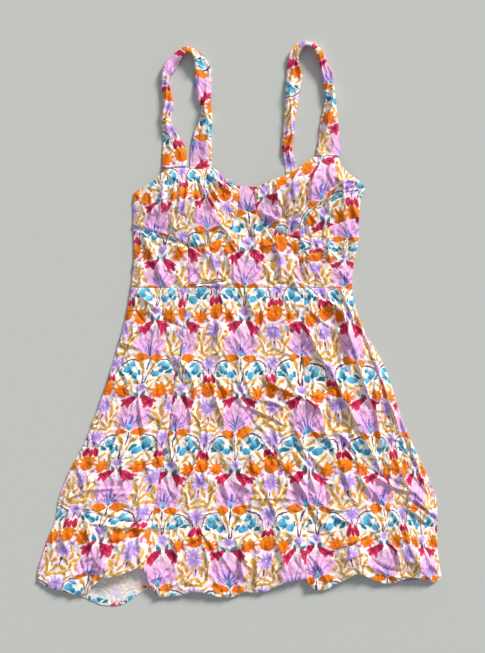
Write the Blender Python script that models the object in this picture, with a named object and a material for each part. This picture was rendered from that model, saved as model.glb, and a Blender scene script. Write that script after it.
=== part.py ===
"""Sundress lying flat on its back: princess-seamed skirt, midriff, two cups and two shoulder straps.

Tables are in millimetres in the garment's own plan: X across, to the right as it is looked down on,
and Y up the body, from the middle of the waist seam. Z is up, from the surface that it lies on.
The finished model is in metres, with its origin at the middle of the underside of its box.
"""

import math

import bmesh
import bpy
import numpy as np

MM = 0.001

# Driving sizes, in millimetres
BACK_WALL = 1.3
FRONT_WALL = 1.3
LAYER_GAP = 0.3
SEAM_GAP = 0.3
HEM_RISE = 105.0
SIDE_EASE = 26.0
FULLNESS = 2.6
SKIRT_ROWS = 36
BACK_SKIRT_ROWS = 16
MIDRIFF_ROWS = 8
CUP_ROWS = 10
SIDE_PIECE_ROWS = 3
BACK_BODICE_ROWS = 6
STRAP_STEPS = 2
TIP_TRIM = 3.0

# How finely curves are followed
EDGE_STEPS = 400
FOLD_STEPS = 40
SHARP_ANGLE = 50.0

# Side edges and princess seams of the skirt and midriff, from the top down: x, y
SIDE_LEFT = [(-170, 152), (-170, 125), (-171, 99), (-169, 69), (-170, 42), (-174, 0), (-182, -43),
             (-194, -91), (-208, -136), (-221, -179), (-237, -219), (-245, -243), (-266, -280),
             (-282, -315), (-291, -344), (-294, -371), (-307, -400), (-317, -432), (-326, -462)]
SIDE_RIGHT = [(194, 155), (192, 134), (190, 114), (189, 70), (182, 42), (179, 0), (186, -38),
              (202, -75), (226, -115), (242, -155), (253, -195), (270, -237), (290, -280),
              (307, -315), (315, -339), (315, -374), (315, -411), (318, -438), (322, -461)]
PRINCESS_LEFT = [(-82, 67), (-83, 37), (-83, 0), (-90, -51), (-96, -102), (-106, -163),
                 (-112, -219), (-125, -283), (-136, -347), (-144, -403), (-149, -451)]
PRINCESS_RIGHT = [(93, 78), (94, 42), (102, 0), (101, -51), (98, -102), (104, -163), (107, -219),
                  (109, -283), (109, -347), (106, -403), (104, -462)]

# Seam under the bust, in stretches that two panels share: x, y
UNDER_LEFT_OUTER = [(-171, 99), (-144, 91), (-114, 80)]
UNDER_LEFT_MIDDLE = [(-114, 80), (-96, 73), (-82, 67)]
UNDER_LEFT_INNER = [(-82, 67), (-66, 64), (-40, 74), (-18, 91), (-5, 112)]
GORE_LEFT = [(-5, 112), (0, 157)]
GORE_TOP = [(0, 157), (11, 155.5), (22, 157)]
GORE_RIGHT = [(22, 157), (26, 122)]
UNDER_RIGHT_INNER = [(26, 122), (37, 107), (54, 94), (75, 83), (93, 78)]
UNDER_RIGHT_OUTER = [(93, 78), (118, 88), (146, 99), (168, 107), (190, 114)]

# Edges and side seams of the cups: x, y
ARMHOLE_LEFT = [(-170, 152), (-150, 163), (-133, 173), (-125, 184), (-117, 190)]
CUP_SEAM_LEFT = [(-117, 190), (-115, 154), (-114, 115), (-114, 80)]
CUP_TOP_LEFT = [(-117, 190), (-99, 191.5), (-83, 191), (-69, 188), (-54, 189.5), (-43, 192),
                (-29, 181), (-16, 170), (0, 157)]
CUP_TOP_RIGHT = [(120, 209), (139, 210), (158, 207), (163, 192), (178, 179), (192, 170), (200, 160)]
CUP_SEAM_RIGHT = [(200, 160), (192, 154), (173, 153), (154, 146), (133, 134), (114, 122), (101, 101),
                  (93, 78)]
NECK_RIGHT = [(120, 209), (109, 203), (98, 195), (85, 184), (70, 177), (54, 173), (40, 167),
              (22, 157)]
ARMHOLE_RIGHT = [(200, 160), (194, 149), (192, 134), (190, 114)]

# Top edge of the back bodice, level where each strap is sewn on: x, y
BACK_TOP = [(-170, 152), (-128, 166), (-85, 178), (-43, 178), (-13, 163), (11, 162), (45, 161),
            (70, 173), (94, 173), (144, 168), (194, 155)]

# Front hem, left to right, with how high each point lies above the back: x, y, lift
HEM = [(-326, -462, 1), (-318, -472, 1), (-301, -478, 2), (-285, -482, 3), (-269, -486, 2),
       (-256, -490, 1), (-243, -485, 2), (-233, -475, 5), (-224, -463, 10), (-208, -457, 15),
       (-189, -453, 17), (-171, -446, 16), (-157, -440, 12), (-149, -451, 8), (-145, -468, 5),
       (-137, -482, 3), (-128, -492, 1), (-118, -493, 1), (-110, -488, 4), (-102, -493, 1),
       (-90, -488, 3), (-77, -483, 6), (-62, -482, 8), (-51, -485, 6), (-38, -491, 2),
       (-22, -494, 1), (-8, -492, 1), (3, -484, 4), (16, -486, 1), (34, -485, 1), (51, -480, 4),
       (66, -468, 8), (83, -464, 10), (96, -462, 8), (104, -462, 7), (111, -475, 2),
       (125, -483, 1), (141, -480, 1), (157, -469, 5), (175, -457, 9), (190, -451, 11),
       (202, -458, 7), (214, -466, 3), (230, -472, 1), (247, -469, 3), (263, -461, 7),
       (279, -458, 10), (294, -462, 6), (305, -469, 2), (314, -469, 1), (322, -461, 1)]
LEFT_SEAM_X = -149
RIGHT_SEAM_X = 104

# Back hem, which shows under the lifted stretch of the front one: x, y
BACK_HEM = [(-326, -462), (-304, -477), (-285, -480), (-256, -491), (-240, -499), (-222, -506),
            (-203, -509), (-188, -507), (-174, -498), (-163, -489), (-149, -480), (-128, -482),
            (-96, -482), (-62, -475), (-22, -485), (16, -478), (51, -472), (83, -458), (104, -454),
            (125, -474), (157, -461), (192, -443), (221, -459), (250, -472), (275, -467),
            (300, -466), (322, -461)]

# Broad rises of the front above the back: x, y, radius across, radius along, height
MOUNDS = [
    (-72, 128, 44, 52, 11.5),
    (-128, 126, 34, 44, 4.0),
    (100, 152, 50, 36, 12.5),
    (52, 134, 30, 34, 4.0),
    (150, 172, 34, 26, 7.0),
    (10, 30, 80, 50, 1.6),
    (-40, -150, 90, 120, 2.2),
    (150, -190, 90, 140, 3.0),
    (-200, -330, 70, 110, 2.4),
    (20, -360, 120, 90, 2.2),
    (240, -380, 60, 70, 3.2),
]

# Largest folds, as ridges along a bent line: start x, y, middle x, y, end x, y, half width, height
FOLDS = [
    (-66, 176, -56, 150, -44, 122, 7, 3.6),
    (-82, 178, -84, 150, -90, 118, 7, 3.0),
    (-98, 182, -104, 156, -108, 124, 7, 2.6),
    (-52, 182, -38, 168, -16, 154, 6, 3.4),
    (-60, 88, -40, 96, -20, 112, 7, 2.4),
    (126, 196, 118, 176, 112, 150, 8, 4.2),
    (146, 200, 142, 182, 150, 160, 8, 3.6),
    (90, 184, 84, 164, 86, 138, 7, 3.6),
    (60, 168, 58, 148, 66, 126, 7, 3.8),
    (36, 118, 50, 110, 66, 104, 7, 3.2),
    (104, 132, 98, 112, 100, 92, 6, 3.0),
    (176, 172, 160, 160, 150, 148, 7, 3.2),
    (-84, 2, -56, 6, -26, 10, 8, 3.0),
    (-36, 26, -28, 14, -22, 10, 6, 2.8),
    (-164, -6, -148, -22, -128, -38, 9, 3.2),
    (-104, -108, -84, -132, -78, -176, 11, 4.0),
    (-86, -192, -98, -206, -110, -222, 9, 3.2),
    (-170, -70, -180, -110, -192, -150, 12, 3.2),
    (-150, -120, -168, -190, -196, -260, 13, 3.6),
    (-6, -144, 2, -160, 8, -172, 8, 2.8),
    (-30, -60, -20, -110, -34, -160, 13, 3.0),
    (60, -30, 70, -80, 60, -124, 12, 3.0),
    (160, -4, 172, -70, 212, -196, 10, 6.4),
    (180, -20, 208, -104, 258, -244, 10, 6.8),
    (100, -52, 144, -132, 224, -292, 13, 6.0),
    (36, -140, 96, -172, 128, -196, 12, 4.4),
    (72, -136, 82, -154, 92, -172, 9, 3.4),
    (84, -222, 106, -278, 120, -324, 11, 4.6),
    (18, -236, 34, -292, 30, -350, 14, 3.6),
    (-60, -240, -70, -300, -92, -356, 14, 3.8),
    (-214, -200, -236, -262, -262, -318, 12, 3.8),
    (-246, -372, -240, -402, -232, -428, 9, 5.0),
    (-286, -372, -282, -396, -276, -418, 8, 4.4),
    (-196, -372, -170, -366, -130, -374, 8, 3.0),
    (144, -418, 180, -396, 236, -372, 10, 5.2),
    (160, -430, 184, -424, 200, -418, 8, 3.6),
    (270, -330, 292, -352, 300, -378, 10, 4.8),
    (262, -366, 286, -362, 312, -352, 8, 3.8),
    (-30, -420, -10, -400, 30, -404, 11, 3.2),
    (52, -372, 70, -392, 76, -420, 9, 3.4),
]

# Straps from the cup up over the loop and down to the back bodice:
# x, y, width, thickness, crown, roll in degrees, height of the lowest edge
STRAP_LEFT = [
    (-104, 192.3, 40, 1.4, 2.6, 0, 3.4), (-105, 205, 40, 1.6, 3.0, 0, 0.8),
    (-106, 221, 38, 1.8, 3.4, 0, 0.0), (-110, 237, 29, 2.2, 4.4, 4, 0.0),
    (-114, 253, 22, 2.6, 5.2, 8, 0.0), (-117, 272, 18, 2.8, 5.6, 0, 0.0),
    (-115, 291, 17, 2.8, 5.6, -8, 0.0), (-118, 314, 13, 2.8, 6.0, -20, 0.0),
    (-120, 331, 16, 2.6, 5.0, -34, 0.0), (-114, 350, 24, 2.4, 4.0, -22, 0.0),
    (-99, 367, 20, 2.4, 3.6, 30, 0.0), (-83, 375, 20, 2.2, 2.0, 66, 0.0),
    (-69, 367, 22, 2.2, 2.4, 50, 0.0), (-60, 349, 27, 2.2, 3.6, 16, 0.0),
    (-59, 330, 28, 2.2, 4.0, 0, 0.0), (-58, 309, 25, 2.4, 4.6, -6, 0.0),
    (-54, 285, 18, 2.8, 6.2, -20, 0.0), (-56, 266, 22, 2.6, 5.2, 8, 0.0),
    (-60, 245, 29, 2.0, 4.2, 4, 0.0), (-62, 221, 35, 1.6, 3.0, 0, 0.0),
    (-63, 201, 36, 1.3, 0.0, 0, 0.0), (-64, 178.3, 36, 1.3, 0.0, 0, 0.0),
]
STRAP_RIGHT = [
    (141, 210.4, 38, 1.4, 2.6, 0, 3.4), (141, 221, 38, 1.6, 3.0, 0, 0.8),
    (142, 237, 35, 1.8, 3.8, 0, 0.0), (142, 256, 32, 2.0, 4.4, 4, 0.0),
    (142, 272, 27, 2.4, 5.0, 8, 0.0), (143, 288, 24, 2.6, 5.4, 4, 0.0),
    (143, 304, 20, 2.8, 5.8, -6, 0.0), (142, 320, 18, 2.8, 6.0, -14, 0.0),
    (138, 338, 18, 2.6, 5.2, -26, 0.0), (132, 355, 20, 2.4, 4.2, -38, 0.0),
    (126, 371, 20, 2.2, 3.0, -54, 0.0), (115, 384, 19, 2.2, 2.2, -62, 0.0),
    (101, 385, 19, 2.2, 2.4, -56, 0.0), (89, 375, 18, 2.4, 3.6, -30, 0.0),
    (85, 358, 21, 2.4, 4.6, -8, 0.0), (86, 339, 27, 2.2, 4.0, 4, 0.0),
    (83, 317, 24, 2.4, 4.6, 8, 0.0), (82, 294, 21, 2.6, 5.0, 0, 0.0),
    (80, 272, 19, 2.8, 5.2, -6, 0.0), (78, 250, 19, 2.8, 5.2, 4, 0.0),
    (75, 227, 17, 2.6, 5.0, 0, 0.0), (78, 208, 18, 1.8, 3.0, 0, 0.0),
    (81, 195, 19, 1.3, 0.0, 0, 0.0), (82, 173.3, 19, 1.3, 0.0, 0, 0.0),
]
# Half sections of a strap, as shares of its width and of its crown: across, up
STRAP_SECTION = [(-0.5, 0.0), (-0.25, 0.8), (0.0, 1.0), (0.25, 0.8), (0.5, 0.0)]

# Colour, roughness and metallic value of the printed cloth, right side and wrong side
RIGHT_SIDE = ((0.86, 0.62, 0.58, 1.0), 0.82, 0.0)
WRONG_SIDE = ((0.90, 0.80, 0.80, 1.0), 0.86, 0.0)


def eased(value):
    """Smooth step from 0 to 1."""
    held = np.clip(value, 0.0, 1.0)
    return held * held * (3.0 - 2.0 * held)


def spline(rows, share):
    """Point at a share of the way along a smooth curve through every row."""
    rows = np.asarray(rows, dtype=float)
    last = len(rows) - 1
    place = share * last
    start = min(int(place), last - 1)
    t = place - start
    before = rows[start - 1] if start > 0 else 2.0 * rows[0] - rows[1]
    after = rows[start + 2] if start + 2 <= last else 2.0 * rows[last] - rows[last - 1]
    here = rows[start]
    there = rows[start + 1]
    slope_here = (there - before) / 2.0
    slope_there = (after - here) / 2.0
    return (here * (1.0 + 2.0 * t) * (1.0 - t) ** 2 + slope_here * t * (1.0 - t) ** 2
            + there * t * t * (3.0 - 2.0 * t) + slope_there * t * t * (t - 1.0))


def followed(rows):
    """Close points along the smooth curve through the rows."""
    return np.array([spline(rows, k / EDGE_STEPS) for k in range(EDGE_STEPS + 1)])


def edge(rows, count):
    """Count + 1 points, evenly spaced along the smooth curve through the rows."""
    fine = followed(rows)
    steps = np.linalg.norm(np.diff(fine, axis=0), axis=1)
    length = np.concatenate([[0.0], np.cumsum(steps)])
    targets = np.linspace(0.0, length[-1], count + 1)
    return np.stack([np.interp(targets, length, fine[:, k]) for k in range(fine.shape[1])], axis=1)


def down(rows, top, bottom, count):
    """Count + 1 points of a side edge or seam between two heights."""
    fine = followed(rows)
    heights = np.linspace(top, bottom, count + 1)
    across = np.interp(-heights, -fine[:, 1], fine[:, 0])
    return np.stack([across, heights], axis=1)


def joined(*stretches):
    """One run of points from stretches that share their end points."""
    points = [stretches[0]]
    for stretch in stretches[1:]:
        points.append(stretch[1:])
    return np.concatenate(points)


def shares(points):
    """How far across its edge each point lies, from 0 to 1."""
    return (points[:, 0] - points[0, 0]) / (points[-1, 0] - points[0, 0])


def level(start, end, across):
    """Points on the straight line from start to end at the given shares."""
    return np.array([np.asarray(start) * (1.0 - u) + np.asarray(end) * u for u in across])


def patch(top, bottom, left, right, across):
    """Plan grid between four edges, top row first and each row from left to right."""
    rows = len(left)
    grid = np.zeros((rows, len(top), 2))
    for j in range(rows):
        v = j / (rows - 1)
        for i, u in enumerate(across):
            ruled = (1.0 - v) * top[i] + v * bottom[i] + (1.0 - u) * left[j] + u * right[j]
            corners = ((1.0 - v) * ((1.0 - u) * top[0] + u * top[-1])
                       + v * ((1.0 - u) * bottom[0] + u * bottom[-1]))
            grid[j, i] = ruled - corners
    return grid


def inset(grid, gap):
    """Moves the border of a plan grid inwards by half a seam gap."""
    result = grid.copy()
    borders = [(grid[0], grid[1], (0, slice(None))), (grid[-1], grid[-2], (-1, slice(None))),
               (grid[:, 0], grid[:, 1], (slice(None), 0)),
               (grid[:, -1], grid[:, -2], (slice(None), -1))]
    for line, inner, where in borders:
        run = np.gradient(line, axis=0)
        normal = np.stack([-run[:, 1], run[:, 0]], axis=1)
        normal /= np.linalg.norm(normal, axis=1)[:, None]
        inward = np.sign(np.sum(normal * (inner - line), axis=1))[:, None]
        result[where] += normal * inward * gap / 2.0
    return result


def fold_height(points, row):
    """Height that one fold adds at each plan point."""
    x0, y0, xm, ym, x1, y1, half_width, height = row
    start = np.array([x0, y0])
    end = np.array([x1, y1])
    control = 2.0 * np.array([xm, ym]) - (start + end) / 2.0
    nearest = np.full(points.shape[:-1], 1e9)
    swell = np.zeros(points.shape[:-1])
    for k in range(FOLD_STEPS + 1):
        t = k / FOLD_STEPS
        on_line = (1.0 - t) ** 2 * start + 2.0 * t * (1.0 - t) * control + t * t * end
        away = np.linalg.norm(points - on_line, axis=-1)
        closer = away < nearest
        swell = np.where(closer, math.sin(math.pi * (0.08 + 0.84 * t)) ** 0.7, swell)
        nearest = np.where(closer, away, nearest)
    return height * swell * np.exp(-(nearest / half_width) ** 2)


def relief(points):
    """Height of the front above the back at each plan point, without the hem's lift."""
    left = np.array(SIDE_LEFT, dtype=float)
    right = np.array(SIDE_RIGHT, dtype=float)
    y = points[..., 1]
    from_left = points[..., 0] - np.interp(-y, -left[:, 1], left[:, 0])
    from_right = np.interp(-y, -right[:, 1], right[:, 0]) - points[..., 0]
    inside = eased(np.minimum(from_left, from_right) / SIDE_EASE)
    height = FULLNESS * inside
    for x, y_mound, radius_x, radius_y, rise in MOUNDS:
        spread = ((points[..., 0] - x) / radius_x) ** 2 + ((y - y_mound) / radius_y) ** 2
        height += rise * np.exp(-spread)
    for row in FOLDS:
        height += fold_height(points, row)
    return height * (0.25 + 0.75 * inside)


def sheet(name, grid, under, wall, finish):
    """Cloth wall over a plan grid: under is the height of its lower face, wall its thickness."""
    rows, columns = grid.shape[:2]
    bm = bmesh.new()
    bmesh.ops.create_grid(bm, x_segments=columns - 1, y_segments=rows - 1, size=0.5)
    ordered = sorted(bm.verts, key=lambda vert: (-round(vert.co.y, 5), round(vert.co.x, 5)))
    for index, vert in enumerate(ordered):
        j, i = divmod(index, columns)
        vert.co = (grid[j, i, 0] * MM, grid[j, i, 1] * MM, under[j, i] * MM)
    bmesh.ops.triangulate(bm, faces=bm.faces[:], quad_method="FIXED")
    raised = bmesh.ops.extrude_face_region(bm, geom=bm.faces[:], use_keep_orig=True)["geom"]
    upper = [part for part in raised if isinstance(part, bmesh.types.BMVert)]
    bmesh.ops.translate(bm, verts=upper, vec=(0.0, 0.0, wall * MM))
    bmesh.ops.recalc_face_normals(bm, faces=bm.faces[:])
    return solid(name, bm, finish)


def solid(name, bm, finish):
    """Object with its own material from a finished bmesh."""
    mesh = bpy.data.meshes.new(name)
    bm.to_mesh(mesh)
    bm.free()
    mesh.shade_smooth()
    mesh.set_sharp_from_angle(angle=math.radians(SHARP_ANGLE))
    obj = bpy.data.objects.new(name, mesh)
    bpy.context.scene.collection.objects.link(obj)
    colour, roughness, metallic = finish
    material = bpy.data.materials.new(name)
    material.use_nodes = True
    shader = material.node_tree.nodes["Principled BSDF"]
    shader.inputs["Base Color"].default_value = colour
    shader.inputs["Roughness"].default_value = roughness
    shader.inputs["Metallic"].default_value = metallic
    mesh.materials.append(material)
    return obj


def front_panel(name, grid, hem_lift=None):
    """Front piece: it lies on the back, raised by the folds and by the lift of its hem column."""
    placed = inset(grid, SEAM_GAP)
    height = relief(placed)
    if hem_lift is not None:
        for j in range(placed.shape[0]):
            above = placed[j, :, 1] - placed[-1, :, 1]
            height[j] += hem_lift * (1.0 - eased(above / HEM_RISE))
    sheet(name, placed, BACK_WALL + LAYER_GAP + height, FRONT_WALL, RIGHT_SIDE)


def skirt_front():
    """Three skirt panels that share the princess seams, one column for each row of the hem table."""
    seams = [SIDE_LEFT, PRINCESS_LEFT, PRINCESS_RIGHT, SIDE_RIGHT]
    stops = [HEM[0][0], LEFT_SEAM_X, RIGHT_SEAM_X, HEM[-1][0]]
    names = ["skirt_front_left", "skirt_front_centre", "skirt_front_right"]
    for name, left_rows, right_rows, low, high in zip(names, seams, seams[1:], stops, stops[1:]):
        hem = np.array([row for row in HEM if low <= row[0] <= high], dtype=float)
        bottom = hem[:, :2]
        across = shares(bottom)
        left = down(left_rows, 0.0, bottom[0, 1], SKIRT_ROWS)
        right = down(right_rows, 0.0, bottom[-1, 1], SKIRT_ROWS)
        top = level(left[0], right[0], across)
        front_panel(name, patch(top, bottom, left, right, across), hem[:, 2])


def midriff():
    """Three panels between the waist and the seam under the bust."""
    outer_left = edge(UNDER_LEFT_OUTER, 4)
    middle_left = edge(UNDER_LEFT_MIDDLE, 2)
    inner_left = edge(UNDER_LEFT_INNER, 8)
    inner_right = edge(UNDER_RIGHT_INNER, 7)
    outer_right = edge(UNDER_RIGHT_OUTER, 10)
    centre_top = joined(inner_left, np.array(GORE_LEFT), edge(GORE_TOP, 2), np.array(GORE_RIGHT),
                        inner_right)
    tops = {"midriff_left": (joined(outer_left, middle_left), SIDE_LEFT, PRINCESS_LEFT),
            "midriff_centre": (centre_top, PRINCESS_LEFT, PRINCESS_RIGHT),
            "midriff_right": (outer_right, PRINCESS_RIGHT, SIDE_RIGHT)}
    for name, (top, left_rows, right_rows) in tops.items():
        left = down(left_rows, top[0, 1], 0.0, MIDRIFF_ROWS)
        right = down(right_rows, top[-1, 1], 0.0, MIDRIFF_ROWS)
        left[0] = top[0]
        right[0] = top[-1]
        across = shares(top)
        bottom = level(left[-1], right[-1], across)
        front_panel(name, patch(top, bottom, left, right, across))


def cups():
    """Two cups and their side pieces."""
    even = np.linspace(0.0, 1.0, 11)
    seam_left = edge(CUP_SEAM_LEFT, CUP_ROWS)
    bottom = joined(edge(UNDER_LEFT_MIDDLE, 2), edge(UNDER_LEFT_INNER, 8))
    gore_left = level(GORE_LEFT[1], GORE_LEFT[0], np.linspace(0.0, 1.0, CUP_ROWS + 1))
    front_panel("cup_left", patch(edge(CUP_TOP_LEFT, 10), bottom, seam_left, gore_left, even))

    left = down(SIDE_LEFT, ARMHOLE_LEFT[0][1], UNDER_LEFT_OUTER[0][1], CUP_ROWS)
    left[0] = ARMHOLE_LEFT[0]
    left[-1] = UNDER_LEFT_OUTER[0]
    front_panel("cup_left_side", patch(edge(ARMHOLE_LEFT, 4), edge(UNDER_LEFT_OUTER, 4), left,
                                       seam_left, np.linspace(0.0, 1.0, 5)))

    seam_right = edge(CUP_SEAM_RIGHT, CUP_ROWS)
    gore_right = level(GORE_RIGHT[0], GORE_RIGHT[1], np.linspace(0.0, 1.0, 4))
    bottom = joined(gore_right, edge(UNDER_RIGHT_INNER, 7))
    front_panel("cup_right", patch(edge(CUP_TOP_RIGHT, 10), bottom, edge(NECK_RIGHT, CUP_ROWS),
                                   seam_right, even))

    top = trimmed(seam_right[::-1])
    bottom = trimmed(edge(UNDER_RIGHT_OUTER, CUP_ROWS))
    tip = level(top[0], bottom[0], np.linspace(0.0, 1.0, SIDE_PIECE_ROWS + 1))
    front_panel("cup_right_side", patch(top, bottom, tip, edge(ARMHOLE_RIGHT, SIDE_PIECE_ROWS),
                                        even))


def trimmed(points):
    """The same run of points, with its sharp first end cut back."""
    result = points.copy()
    step = result[1] - result[0]
    result[0] = result[0] + step * (TIP_TRIM / np.linalg.norm(step))
    return result


def backs():
    """Back skirt and back bodice, both flat on the surface."""
    bottom = np.array(BACK_HEM, dtype=float)
    across = shares(bottom)
    left = down(SIDE_LEFT, 0.0, bottom[0, 1], BACK_SKIRT_ROWS)
    right = down(SIDE_RIGHT, 0.0, bottom[-1, 1], BACK_SKIRT_ROWS)
    grid = patch(level(left[0], right[0], across), bottom, left, right, across)
    placed = inset(grid, SEAM_GAP)
    sheet("skirt_back", placed, np.zeros(placed.shape[:2]), BACK_WALL, WRONG_SIDE)

    top = np.array(BACK_TOP, dtype=float)
    across = shares(top)
    left = down(SIDE_LEFT, top[0, 1], 0.0, BACK_BODICE_ROWS)
    right = down(SIDE_RIGHT, top[-1, 1], 0.0, BACK_BODICE_ROWS)
    left[0] = top[0]
    right[0] = top[-1]
    placed = inset(patch(top, level(left[-1], right[-1], across), left, right, across), SEAM_GAP)
    sheet("bodice_back", placed, np.zeros(placed.shape[:2]), BACK_WALL, WRONG_SIDE)


def strap(name, rows):
    """Ribbon swept along its table, flat or rolled, with a flat foot and a crowned top."""
    count = (len(rows) - 1) * STRAP_STEPS
    stations = [spline(rows, k / count) for k in range(count + 1)]
    bm = bmesh.new()
    rings = []
    for k, (x, y, width, thick, crown, roll, foot) in enumerate(stations):
        ahead = stations[min(k + 1, count)]
        behind = stations[max(k - 1, 0)]
        run = math.atan2(ahead[1] - behind[1], ahead[0] - behind[0])
        if k in (0, count):
            run = math.radians(90.0 if k == 0 else -90.0)
        side = (math.sin(run), -math.cos(run))
        angle = math.radians(roll)
        profile = [(width / 2.0, 0.0), (-width / 2.0, 0.0)]
        profile += [(width * a, thick + max(crown, 0.0) * b) for a, b in STRAP_SECTION]
        turned = [(a * math.cos(angle) - b * math.sin(angle),
                   a * math.sin(angle) + b * math.cos(angle)) for a, b in profile]
        lowest = min(b for a, b in turned)
        ring = [bm.verts.new(((x + side[0] * a) * MM, (y + side[1] * a) * MM,
                              (b - lowest + max(foot, 0.0)) * MM)) for a, b in turned]
        rings.append(ring)
    points = len(rings[0])
    for ring, following in zip(rings, rings[1:]):
        for k in range(points):
            n = (k + 1) % points
            bm.faces.new((ring[k], ring[n], following[n], following[k]))
    bm.faces.new(rings[0])
    bm.faces.new(rings[-1][::-1])
    bmesh.ops.recalc_face_normals(bm, faces=bm.faces[:])
    bmesh.ops.triangulate(bm, faces=bm.faces[:])
    solid(name, bm, RIGHT_SIDE)


def centre_on_box(objects):
    """Moves every mesh so that the origin is at the middle of the underside of the box."""
    corners = np.array([vert.co[:] for obj in objects for vert in obj.data.vertices])
    low = corners.min(axis=0)
    high = corners.max(axis=0)
    shift = ((low[0] + high[0]) / 2.0, (low[1] + high[1]) / 2.0, low[2])
    for obj in objects:
        for vert in obj.data.vertices:
            vert.co.x -= shift[0]
            vert.co.y -= shift[1]
            vert.co.z -= shift[2]


def main():
    for obj in list(bpy.data.objects):
        bpy.data.objects.remove(obj)
    backs()
    skirt_front()
    midriff()
    cups()
    strap("strap_left", STRAP_LEFT)
    strap("strap_right", STRAP_RIGHT)
    centre_on_box([obj for obj in bpy.data.objects if obj.type == "MESH"])


main()
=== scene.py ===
"""Finish of a printed sundress that lies flat on its back.

Every panel is a thin, crinkled skin on its solid's upper face, with the print laid along its own grain.
Plan sizes are in millimetres from the middle of the waist seam: x to the right, y up the body.
"""

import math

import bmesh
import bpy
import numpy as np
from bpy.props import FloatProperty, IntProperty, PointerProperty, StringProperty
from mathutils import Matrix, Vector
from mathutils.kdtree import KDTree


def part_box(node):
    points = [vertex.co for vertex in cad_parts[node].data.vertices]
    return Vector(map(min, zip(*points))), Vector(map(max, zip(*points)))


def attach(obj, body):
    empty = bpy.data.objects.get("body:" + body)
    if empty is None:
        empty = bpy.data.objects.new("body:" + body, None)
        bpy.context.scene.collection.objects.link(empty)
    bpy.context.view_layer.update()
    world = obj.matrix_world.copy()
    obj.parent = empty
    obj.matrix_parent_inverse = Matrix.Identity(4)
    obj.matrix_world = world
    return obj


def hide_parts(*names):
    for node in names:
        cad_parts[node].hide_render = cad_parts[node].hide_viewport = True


bl_info = {
    "name": "Printed sundress laid flat",
    "version": (1, 0, 0),
    "blender": (4, 5, 0),
    "location": "3D View > Sidebar > Sundress",
    "description": "Builds the crinkled cloth, straps, hem and print of a sundress around its frame",
    "category": "Object",
}

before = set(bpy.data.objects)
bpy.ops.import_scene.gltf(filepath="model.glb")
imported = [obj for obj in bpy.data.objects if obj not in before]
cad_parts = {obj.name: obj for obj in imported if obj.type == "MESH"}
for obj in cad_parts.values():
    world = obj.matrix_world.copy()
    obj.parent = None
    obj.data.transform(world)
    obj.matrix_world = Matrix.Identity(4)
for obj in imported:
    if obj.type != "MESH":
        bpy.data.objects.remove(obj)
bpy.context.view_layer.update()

MM = 0.001
BODY = "root"

# The middle of the waist seam in the frame, in millimetres
WAIST_X = 2.0
WAIST_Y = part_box("midriff_centre")[0].y / MM - 0.15

# The print: half the width between two pink blooms, the height of one row, how far a cell reaches above
# the foot of its bloom, and the x from which a tilted row drops
HALF_REPEAT = 52.8
ROW_HEIGHT = 120.0
CELL_TOP = 6.0
TILT_FROM = 128.0

# Where the print's blooms fall on each piece. A column line is (y, x of each column), and the columns
# count from 0 unless a first number is given. A row is (y, its number), and tilt is how far a row drops
# for each mm to the right.
PRINT_FALL = {
    "skirt_front_left": {
        "first": -1,
        "columns": [(0, -219, -126, -44), (-108, -245, -146, -40), (-226, -278, -176, -58),
                    (-342, -315, -210, -87), (-457, -346, -240, -132)],
        "rows": [(12, -1), (-108, 0), (-226, 1), (-342, 2), (-457, 3), (-577, 4)]},
    "skirt_front_centre": {
        "columns": [(0, -88, 8, 110), (-108, -90, 3, 97), (-229, -103, -6, 108),
                    (-350, -121, -13, 103), (-475, -129, -19, 89)],
        "rows": [(12, -1), (-108, 0), (-229, 1), (-350, 2), (-475, 3), (-595, 4)]},
    "skirt_front_right": {
        "first": -1,
        "columns": [(0, 90, 168, 243), (-114, 89, 184, 251), (-230, 109, 211, 267),
                    (-348, 121, 229, 285), (-462, 124, 232, 301)],
        "rows": [(8, -1), (-114, 0), (-230, 1), (-348, 2), (-462, 3), (-582, 4)]},
    "midriff_left": {
        "first": -1,
        "columns": [(0, -226, -126, -28), (100, -217, -119, -24)],
        "rows": [(107, -1), (37, -0.4), (0, 0), (-117, 1)]},
    "midriff_centre": {
        "columns": [(0, -90, 10, 118), (160, -90, 11, 118)],
        "rows": [(242, -2), (122, -1), (4, 0), (-116, 1)]},
    "midriff_right": {
        "first": -1,
        "columns": [(0, 74, 168, 262), (120, 74, 170, 262)],
        "rows": [(161, -2), (81, -1), (6, 0), (-66, 1)]},
    "cup_left": {
        "columns": [(60, -131, -51, 32), (190, -126, -60, 10)],
        "rows": [(196, -1), (93, 0), (-27, 1)]},
    "cup_left_side": {
        "columns": [(80, -131, -51), (190, -131, -51)],
        "rows": [(190, -1), (90, 0), (-30, 1)]},
    "cup_right": {
        "tilt": -0.62,
        "columns": [(80, 38, 128, 218), (200, 38, 128, 218)],
        "rows": [(265, -1), (145, 0), (25, 1)]},
    "cup_right_side": {
        "columns": [(80, 136, 226), (180, 136, 226)],
        "rows": [(288, -1), (168, 0), (48, 1)]},
    "skirt_back": {
        "columns": [(0, -40, 60), (-500, -40, 65)],
        "rows": [(5, -1), (-115, 0), (-235, 1), (-355, 2), (-475, 3), (-595, 4)]},
    "bodice_back": {
        "columns": [(0, -95, 11, 117), (190, -95, 11, 117)],
        "rows": [(236, -1), (116, 0), (-4, 1)]},
}

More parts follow.
